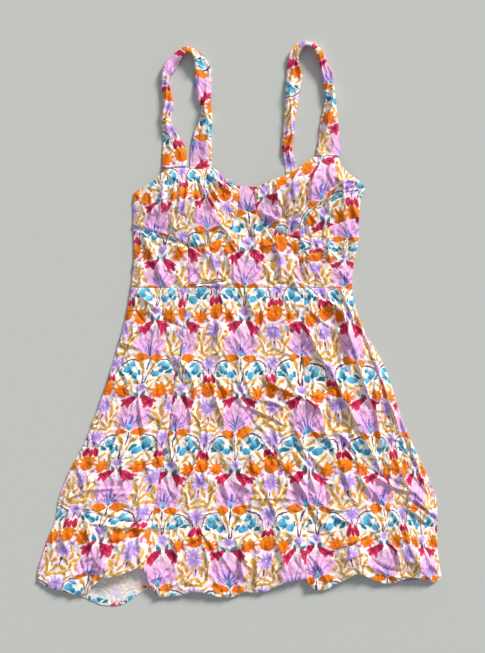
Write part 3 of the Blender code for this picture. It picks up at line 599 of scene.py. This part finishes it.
def from_edge(mesh):
    """Distance of every vertex from the border of its skin, in millimetres."""
    bm = bmesh.new()
    bm.from_mesh(mesh)
    border = [vert.co.copy() for vert in bm.verts if vert.is_boundary]
    bm.free()
    tree = KDTree(len(border))
    for index, point in enumerate(border):
        tree.insert(point, index)
    tree.balance()
    return np.array([tree.find(vert.co)[2] for vert in mesh.vertices]) / MM


def crisp_border(mesh):
    """Keeps the shading of a skin flat right up to its border, where its cut edge begins."""
    bm = bmesh.new()
    bm.from_mesh(mesh)
    for edge in bm.edges:
        edge.smooth = not edge.is_boundary
    bm.to_mesh(mesh)
    bm.free()


def lay_print(mesh, across, down):
    """Stores each vertex's place in the print as a UV map."""
    layer = mesh.uv_layers.new(name="print")
    loops = np.zeros(len(mesh.loops), dtype=int)
    mesh.loops.foreach_get("vertex_index", loops)
    layer.data.foreach_set("uv", np.stack([across[loops], down[loops]], axis=1).ravel())


def from_hem(name, x, y):
    """Distance of every vertex from its piece's hem, measured up or down the body."""
    low, high, lower = HEMS.get(name, (0, 0, True))
    inside = (x > low) & (x < high)
    if not inside.any():
        return np.full(len(x), NO_HEM)
    level = y if lower else -y
    bins = np.clip(np.round((x - low) / HEM_STEP).astype(int), 0, int((high - low) / HEM_STEP))
    foot = np.full(bins.max() + 1, NO_HEM)
    np.minimum.at(foot, bins[inside], level[inside])
    smooth = np.convolve(np.pad(foot, 3, mode="edge"), np.ones(7) / 7.0, mode="valid")
    away = level - np.interp(x, low + HEM_STEP * np.arange(len(smooth)), smooth)
    return np.where(inside, away, NO_HEM)


def hem_band(above, x, y):
    """Height that the turned hem and its puckered stitching add along a front skirt panel's edge."""
    band = 0.5 * (1.0 - eased((above - HEM_STITCH) / 1.5))
    stitch = -0.9 * np.exp(-((above - HEM_STITCH) / 1.3) ** 2)
    pucker = 0.9 * drift(x, y * 0.25, 6.0, 77) * np.exp(-((above - HEM_STITCH) / 8.0) ** 2)
    return band + stitch + pucker


def cloth_piece(name, settings, back=False):
    """One cut piece as crinkled cloth on its solid's upper face."""
    piece = skin_of(name)
    mesh = piece.data
    x, y, z = coordinates(mesh)
    edge = from_edge(mesh)
    crease, draw_x, draw_y = crease_field(x, y)
    small = crinkles(x, y, settings.seed)
    washed, washed_x, washed_y = washed_creases(x, y, settings.seed + (40 if back else 1))
    draw_x += washed_x
    draw_y += washed_y
    calm = 0.5 + 0.5 * eased(edge / 10.0)
    above = from_hem(name, x, y)
    if back:
        lift = 0.25 * (small + washed) * calm + 0.3
        turned = 0.5 * (1.0 - eased((above - TURNED_EDGE) / 1.2))
        z = settings.thickness / MM + np.clip(lift, 0.0, 0.9) + turned
    else:
        lift = settings.crinkle * (small + washed) * calm + crease * (0.4 + 0.6 * eased(edge / 6.0))
        lift += hem_band(above, x, y)
        groove = settings.seam_depth / MM * np.exp(-(edge / 1.7) ** 2)
        gather = 0.55 * drift(x, y, 4.5, 91) * np.exp(-(edge / 7.0) ** 2)
        z = np.maximum(z + lift + gather - groove, FRONT_LOWEST)
    place(mesh, x, y, z)
    skew_x = 4.5 * drift(x, y, 64.0, 53) + 1.8 * drift(x, y, 21.0, 55)
    skew_y = 4.5 * drift(x, y, 58.0, 54) + 1.8 * drift(x, y, 23.0, 56)
    across, down = print_place(name, x + draw_x + skew_x, y + draw_y + skew_y)
    lay_print(mesh, across, down)
    mesh.shade_smooth()
    crisp_border(mesh)
    # The cloth's thickness puts the next material of the list on a face's other side
    looks = (wrong_side, right_side, right_side) if back else (right_side, wrong_side)
    for look in looks:
        mesh.materials.append(look())
    if back:
        turned_over(mesh, above)
    wall = piece.modifiers.new("Cloth thickness", "SOLIDIFY")
    wall.thickness = settings.thickness
    wall.offset = -1.0
    wall.material_offset = 1
    wall.material_offset_rim = 0
    finished(piece, name)


def turned_over(mesh, above):
    """Shows the right side on the strip of a back piece that is turned up along its edge."""
    for face in mesh.polygons:
        if max(above[index] for index in face.vertices) < TURNED_EDGE:
            face.material_index = 1


def finished(piece, node):
    """Registers a finished piece with the frame."""
    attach(piece, BODY)
    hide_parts(node)


def shape_group(shape):
    """Node group that lays one stroke of the print over what is under it."""
    if shape in GROUPS:
        return GROUPS[shape]
    tree = bpy.data.node_groups.new("printed_" + shape, "ShaderNodeTree")
    sockets = (("Under", "NodeSocketColor"), ("Place", "NodeSocketVector"), ("Along", "NodeSocketVector"),
               ("Aside", "NodeSocketVector"), ("Ink", "NodeSocketColor"), ("Shade", "NodeSocketColor"),
               ("Petals", "NodeSocketFloat"))
    for label, kind in sockets:
        tree.interface.new_socket(name=label, in_out="INPUT", socket_type=kind)
    tree.interface.new_socket(name="Print", in_out="OUTPUT", socket_type="NodeSocketColor")
    given = add(tree, "NodeGroupInput").outputs
    known = {"Petals": given["Petals"]}
    for way in ("Along", "Aside"):
        known[way.lower()] = add(tree, "ShaderNodeVectorMath", {0: given["Place"], 1: given[way]},
                                 operation="DOT_PRODUCT").outputs["Value"]
    # No node here clamps its own result, which would hold every stroke's values until the last one
    for result, operation, *terms in STROKE_STEPS[shape] + [("mask", "MULTIPLY_ADD", "size", -7.0, 7.4)]:
        inputs = {k: known.get(term, term) for k, term in enumerate(terms)}
        known[result] = add(tree, "ShaderNodeMath", inputs, operation=operation).outputs[0]
    ink = add(tree, "ShaderNodeMix", {0: known["shade"], 6: given["Ink"], 7: given["Shade"]},
              data_type="RGBA").outputs[2]
    laid = add(tree, "ShaderNodeMix", {0: known["mask"], 6: given["Under"], 7: ink}, data_type="RGBA")
    add(tree, "NodeGroupOutput", {0: laid.outputs[2]})
    GROUPS[shape] = tree
    return tree


def print_group():
    """Node group of the whole floral repeat: from a place in the print to its colour."""
    if "repeat" in GROUPS:
        return GROUPS["repeat"]
    tree = bpy.data.node_groups.new("floral_repeat", "ShaderNodeTree")
    tree.interface.new_socket(name="Print", in_out="OUTPUT", socket_type="NodeSocketColor")
    spread = add(tree, "ShaderNodeUVMap", uv_map="print").outputs[0]
    parts = add(tree, "ShaderNodeSeparateXYZ", {0: spread}).outputs
    folded = add(tree, "ShaderNodeMath", {0: parts["X"], 1: 1.0}, operation="PINGPONG").outputs[0]
    across = add(tree, "ShaderNodeMath", {0: folded, 1: HALF_REPEAT}, operation="MULTIPLY").outputs[0]
    begun = add(tree, "ShaderNodeMath", {0: parts["Y"], 1: CELL_TOP / ROW_HEIGHT},
                operation="ADD").outputs[0]
    share = add(tree, "ShaderNodeMath", {0: begun}, operation="FRACT").outputs[0]
    down = add(tree, "ShaderNodeMath", {0: share, 1: -ROW_HEIGHT, 2: CELL_TOP},
               operation="MULTIPLY_ADD").outputs[0]
    spot = add(tree, "ShaderNodeCombineXYZ", {0: across, 1: down, 2: 1.0}).outputs[0]
    wobble = add(tree, "ShaderNodeTexNoise", {"Vector": spot, "Scale": 0.22, "Detail": 1.0}).outputs[1]
    centred = add(tree, "ShaderNodeVectorMath", {0: wobble, 1: (0.5, 0.5, 0.5)},
                  operation="SUBTRACT").outputs[0]
    moved = add(tree, "ShaderNodeVectorMath", {0: centred, 1: (3.4, 3.4, 0.0), 2: spot},
                operation="MULTIPLY_ADD").outputs[0]
    colour = add(tree, "ShaderNodeRGB").outputs[0]
    colour.default_value = linear(INKS["ground"][0])
    strokes = [(shape, ink, *stroke) for shape, ink, run in PRINT for stroke in run]
    for shape, ink, x, y, turn, length, width, *petals in strokes:
        for row in (-1, 0, 1):
            level = y + row * ROW_HEIGHT
            if level + length / 2.0 < CELL_TOP - ROW_HEIGHT or level - length / 2.0 > CELL_TOP:
                continue
            angle = math.radians(turn)
            along = Vector((math.cos(angle), math.sin(angle), 0.0)) * 2.0 / length
            aside = Vector((-math.sin(angle), math.cos(angle), 0.0)) * 2.0 / width
            along.z = -along.x * x - along.y * level
            aside.z = -aside.x * x - aside.y * level
            colour = add(tree, "ShaderNodeGroup", {
                "Under": colour, "Place": moved, "Along": along, "Aside": aside,
                "Ink": linear(INKS[ink][0]), "Shade": linear(INKS[ink][1]),
                "Petals": petals[0] if petals else 0}, node_tree=shape_group(shape)).outputs[0]
    add(tree, "NodeGroupOutput", {0: colour})
    GROUPS["repeat"] = tree
    return tree


def viscose(name, paleness):
    """Crinkled plain-weave viscose with a printed face: matt, with a faint sheen over the threads."""
    if name in bpy.data.materials:
        return bpy.data.materials[name]
    material = bpy.data.materials.new(name)
    material.use_nodes = True
    tree = material.node_tree
    shader = tree.nodes["Principled BSDF"]
    printed = add(tree, "ShaderNodeGroup", node_tree=print_group()).outputs[0]
    place_on = add(tree, "ShaderNodeTexCoord").outputs["Object"]
    # Ink takes a little unevenly, in patches of about 8 mm
    uneven = add(tree, "ShaderNodeTexNoise", {"Vector": place_on, "Scale": 120.0, "Detail": 3.0})
    ink = add(tree, "ShaderNodeMapRange", {"Value": uneven.outputs[0], "To Min": 0.9, "To Max": 1.06})
    toned = add(tree, "ShaderNodeVectorMath", {0: printed, 1: ink.outputs[0]}, operation="MULTIPLY")
    worn = add(tree, "ShaderNodeMix", {0: paleness, 6: toned.outputs[0],
                                       7: linear(INKS["ground"][0])}, data_type="RGBA")
    tree.links.new(worn.outputs[2], shader.inputs["Base Color"])
    for key, value in (("Roughness", 0.78), ("Specular IOR Level", 0.28), ("Sheen Weight", 0.12),
                       ("Sheen Roughness", 0.45)):
        shader.inputs[key].default_value = value
    # Crepe grain of about 2.5 mm, then threads drawn 0.9 mm apart so that they show up close
    grain = add(tree, "ShaderNodeTexNoise", {"Vector": place_on, "Scale": 380.0, "Detail": 4.0,
                                             "Roughness": 0.62}).outputs[0]
    warp = add(tree, "ShaderNodeTexWave", {"Vector": place_on, "Scale": 175.0, "Distortion": 0.6},
               wave_type="BANDS", bands_direction="X").outputs[1]
    weft = add(tree, "ShaderNodeTexWave", {"Vector": place_on, "Scale": 175.0, "Distortion": 0.6},
               wave_type="BANDS", bands_direction="Y").outputs[1]
    threads = add(tree, "ShaderNodeMath", {0: warp, 1: weft}, operation="MULTIPLY").outputs[0]
    # Crumples about 10 mm apart that are too fine for the mesh
    crumple = add(tree, "ShaderNodeTexNoise", {"Vector": place_on, "Scale": 95.0, "Detail": 2.0,
                                               "Distortion": 0.8},
                  noise_type="RIDGED_MULTIFRACTAL", normalize=True).outputs[0]
    crumpled = add(tree, "ShaderNodeBump", {"Height": crumple, "Strength": 0.8, "Distance": 0.002})
    coarse = add(tree, "ShaderNodeBump", {"Height": grain, "Strength": 0.5, "Distance": 0.0006,
                                          "Normal": crumpled.outputs[0]})
    fine = add(tree, "ShaderNodeBump", {"Height": threads, "Strength": 0.25, "Distance": 0.00012,
                                        "Normal": coarse.outputs[0]})
    tree.links.new(fine.outputs[0], shader.inputs["Normal"])
    return material


def right_side():
    """The cloth's printed face."""
    return viscose("crinkled_viscose_face", 0.0)


def wrong_side():
    """The cloth's inner face, where the print shows through pale."""
    return viscose("crinkled_viscose_inside", 0.66)


def spline(rows, share):
    """Point at a share of the way along a smooth curve through every row."""
    rows = np.asarray(rows, dtype=float)
    last = len(rows) - 1
    place_along = share * last
    start = min(int(place_along), last - 1)
    t = place_along - start
    before = rows[start - 1] if start > 0 else 2.0 * rows[0] - rows[1]
    after = rows[start + 2] if start + 2 <= last else 2.0 * rows[last] - rows[last - 1]
    here = rows[start]
    there = rows[start + 1]
    return (here * (1.0 + 2.0 * t) * (1.0 - t) ** 2 + (there - before) / 2.0 * t * (1.0 - t) ** 2
            + there * t * t * (3.0 - 2.0 * t) + (after - here) / 2.0 * t * t * (t - 1.0))


def strap(name, rows, seed):
    """Shoulder strap: a strip folded and rolled lengthwise, swept round its loop."""
    stations = STRAP_STEPS * (len(rows) - 1)
    around = STRAP_UPPER + STRAP_LOWER
    bm = bmesh.new()
    bmesh.ops.create_grid(bm, x_segments=around, y_segments=stations, size=0.5)
    ordered = sorted(bm.verts, key=lambda vert: (round(vert.co.y, 5), round(vert.co.x, 5)))
    table = np.array([spline(rows, k / stations) for k in range(stations + 1)])
    steps = np.hypot(np.diff(table[:, 0]), np.diff(table[:, 1]))
    gone = np.concatenate([[0.0], np.cumsum(steps)])
    run = np.arctan2(np.gradient(table[:, 1]), np.gradient(table[:, 0]))
    across_share = np.zeros(len(ordered))
    down_share = np.zeros(len(ordered))
    for k in range(stations + 1):
        x, y, width, thick, crown, roll, foot, print_across, print_down = table[k]
        crown = STRAP_DEPTH * max(crown, 0.0)
        a = np.concatenate([np.linspace(-0.5, 0.5, STRAP_UPPER + 1),
                            np.linspace(0.5, -0.5, STRAP_LOWER + 1)[1:]])
        on_top = np.arange(around + 1) < STRAP_UPPER
        dome = np.clip(1.0 - (2.0 * a) ** 2, 0.0, 1.0) ** 0.6
        profile = 0.42 * dome
        for start, cross, breadth, rise in STRAP_FOLDS:
            middle = (start + gone[k] / cross + 0.12 * drift(gone[k], start, 40.0, seed)) % 1.0 - 0.5
            profile += rise * dome * np.exp(-np.abs((a - middle) / breadth) ** 1.4)
        for owner, row, middle, rows_long, breadth, deep in STRAP_HOLLOWS:
            if owner == name:
                far = ((k / STRAP_STEPS - row) / rows_long) ** 2 + ((a - middle) / breadth) ** 2
                profile -= deep * dome * np.exp(-far)
        rough = drift(gone[k] + 0.0 * a, a * width, 9.0, seed + 1) + 0.6 * drift(
            gone[k] + 0.0 * a, a * width, 4.5, seed + 2)
        b = thick + crown * profile + 0.5 * rough * min(1.0, crown / 2.0)
        b = np.where(on_top, np.maximum(b, 0.4 * thick), 0.0)
        b[[0, STRAP_UPPER, around]] = thick * 0.5
        angle = math.radians(roll)
        side_x, side_y = math.sin(run[k]), -math.cos(run[k])
        aw = a * width
        turned_a = aw * math.cos(angle) - b * math.sin(angle)
        turned_b = aw * math.sin(angle) + b * math.cos(angle)
        z = turned_b - turned_b.min() + max(foot, 0.0)
        for i in range(around + 1):
            vert = ordered[k * (around + 1) + i]
            vert.co = ((x + side_x * turned_a[i] + WAIST_X) * MM,
                       (y + side_y * turned_a[i] + WAIST_Y) * MM, z[i] * MM)
        span = slice(k * (around + 1), (k + 1) * (around + 1))
        across_share[span] = print_across + aw / HALF_REPEAT
        down_share[span] = print_down
    for index, vert in enumerate(ordered):
        vert.index = index
    layer = bm.loops.layers.uv.new("print")
    for face in bm.faces:
        for loop in face.loops:
            loop[layer].uv = (across_share[loop.vert.index], down_share[loop.vert.index])
    bmesh.ops.remove_doubles(bm, verts=bm.verts[:], dist=2.0 * WELD)
    bmesh.ops.holes_fill(bm, edges=[e for e in bm.edges if e.is_boundary], sides=0)
    bmesh.ops.recalc_face_normals(bm, faces=bm.faces[:])
    piece = linked(bm, name + "_cloth")
    piece.data.shade_smooth()
    piece.data.materials.append(right_side())
    finished(piece, name)


class SundressCloth(bpy.types.PropertyGroup):
    """How the cloth lies."""

    thickness: FloatProperty(name="Thickness", description="Thickness of the cloth", default=0.0006,
                             unit="LENGTH")
    crinkle: FloatProperty(name="Crinkle", description="Height of the small creases, as a share",
                           default=1.15, subtype="FACTOR")
    seam_depth: FloatProperty(name="Seam depth", description="How far a seam sinks", default=0.001,
                              unit="LENGTH")
    seed: IntProperty(name="Seed", description="Which set of small creases the cloth has", default=11)


class SundressStage(bpy.types.PropertyGroup):
    """Floor, light and camera."""

    floor_colour: StringProperty(name="Floor", description="sRGB hex value of the floor",
                                 default="C9CDCB")
    key_strength: FloatProperty(name="Key light", description="Strength of the window's light", default=3.7)
    fill: FloatProperty(name="Fill", description="Strength of the light from all round", default=0.38)
    camera_height: FloatProperty(name="Camera height", description="Height above the floor",
                                 default=1.3, unit="LENGTH")
    frame_height: FloatProperty(name="Frame height", description="Length of floor that the frame shows",
                                default=1.0448, unit="LENGTH")


class SundressMakeSkirt(bpy.types.Operator):
    """Makes the three front skirt panels."""

    bl_idname = "sundress.make_skirt"
    bl_label = "Front skirt"

    def execute(self, context):
        for side in ("left", "centre", "right"):
            cloth_piece("skirt_front_" + side, context.scene.sundress_cloth)
        return {"FINISHED"}


class SundressMakeMidriff(bpy.types.Operator):
    """Makes the three front panels between the waist and the bust."""

    bl_idname = "sundress.make_midriff"
    bl_label = "Midriff"

    def execute(self, context):
        for side in ("left", "centre", "right"):
            cloth_piece("midriff_" + side, context.scene.sundress_cloth)
        return {"FINISHED"}


class SundressMakeCups(bpy.types.Operator):
    """Makes the two cups and their side pieces."""

    bl_idname = "sundress.make_cups"
    bl_label = "Cups"

    def execute(self, context):
        for name in ("cup_left", "cup_left_side", "cup_right", "cup_right_side"):
            cloth_piece(name, context.scene.sundress_cloth)
        return {"FINISHED"}


class SundressMakeBacks(bpy.types.Operator):
    """Makes the back skirt and the back bodice, wrong side up."""

    bl_idname = "sundress.make_backs"
    bl_label = "Backs"

    def execute(self, context):
        for name in ("skirt_back", "bodice_back"):
            cloth_piece(name, context.scene.sundress_cloth, back=True)
        return {"FINISHED"}


class SundressMakeStraps(bpy.types.Operator):
    """Makes the two shoulder straps."""

    bl_idname = "sundress.make_straps"
    bl_label = "Straps"

    def execute(self, context):
        strap("strap_left", STRAP_LEFT, 201)
        strap("strap_right", STRAP_RIGHT, 301)
        return {"FINISHED"}


class SundressMakeStage(bpy.types.Operator):
    """Makes the floor, the light and the camera."""

    bl_idname = "sundress.make_stage"
    bl_label = "Stage"

    def execute(self, context):
        settings = context.scene.sundress_stage
        bm = bmesh.new()
        bmesh.ops.create_grid(bm, x_segments=1, y_segments=1, size=FLOOR_REACH)
        floor = linked(bm, "floor")
        floor.location.z = -FLOOR_DROP
        paint = bpy.data.materials.new("pale_matt_floor")
        paint.use_nodes = True
        shader = paint.node_tree.nodes["Principled BSDF"]
        shader.inputs["Base Color"].default_value = linear(settings.floor_colour)
        shader.inputs["Roughness"].default_value = 0.9
        floor.data.materials.append(paint)
        key_light(context, settings)
        world = bpy.data.worlds.new("studio")
        world.use_nodes = True
        sky = world.node_tree.nodes["Background"]
        sky.inputs["Color"].default_value = linear("F4F7FB")
        sky.inputs["Strength"].default_value = settings.fill
        context.scene.world = world
        context.scene.view_settings.view_transform = "Standard"
        lens = bpy.data.cameras.new("camera")
        lens.sensor_width = 36.0
        lens.lens = lens.sensor_width * settings.camera_height / settings.frame_height
        camera = bpy.data.objects.new("camera", lens)
        camera.location = (*CAMERA_PLAN, settings.camera_height)
        context.scene.collection.objects.link(camera)
        context.scene.camera = camera
        return {"FINISHED"}


def key_light(context, settings):
    """Soft daylight from a large window beyond the right shoulder."""
    lamp = bpy.data.lights.new("window", "SUN")
    lamp.angle = math.radians(16.0)
    lamp.energy = settings.key_strength
    lamp.color = linear("FFFAF2")[:3]
    holder = bpy.data.objects.new("window", lamp)
    holder.location = WINDOW_PLACE
    holder.rotation_euler = (-holder.location).to_track_quat("-Z", "Y").to_euler()
    context.scene.collection.objects.link(holder)


class SundressPanel(bpy.types.Panel):
    """Lists the pieces of the dress and their settings."""

    bl_idname = "VIEW3D_PT_sundress"
    bl_label = "Sundress"
    bl_space_type = "VIEW_3D"
    bl_region_type = "UI"
    bl_category = "Sundress"

    def draw(self, context):
        for group in (context.scene.sundress_cloth, context.scene.sundress_stage):
            for key in group.__annotations__:
                self.layout.prop(group, key)
        for operator in OPERATORS:
            self.layout.operator(operator.bl_idname)


OPERATORS = (SundressMakeStage, SundressMakeBacks, SundressMakeSkirt, SundressMakeMidriff,
             SundressMakeCups, SundressMakeStraps)
CLASSES = (SundressCloth, SundressStage) + OPERATORS + (SundressPanel,)


def register():
    """Adds the pieces' operators, their settings and their panel to Blender."""
    for cls in CLASSES:
        bpy.utils.register_class(cls)
    bpy.types.Scene.sundress_cloth = PointerProperty(type=SundressCloth)
    bpy.types.Scene.sundress_stage = PointerProperty(type=SundressStage)


def unregister():
    """Takes them out again."""
    del bpy.types.Scene.sundress_stage
    del bpy.types.Scene.sundress_cloth
    for cls in reversed(CLASSES):
        bpy.utils.unregister_class(cls)


def main():
    """Builds the stage and every piece of the dress."""
    register()
    bpy.ops.sundress.make_stage()
    bpy.ops.sundress.make_backs()
    bpy.ops.sundress.make_skirt()
    bpy.ops.sundress.make_midriff()
    bpy.ops.sundress.make_cups()
    bpy.ops.sundress.make_straps()


if __name__ == "__main__":
    main()
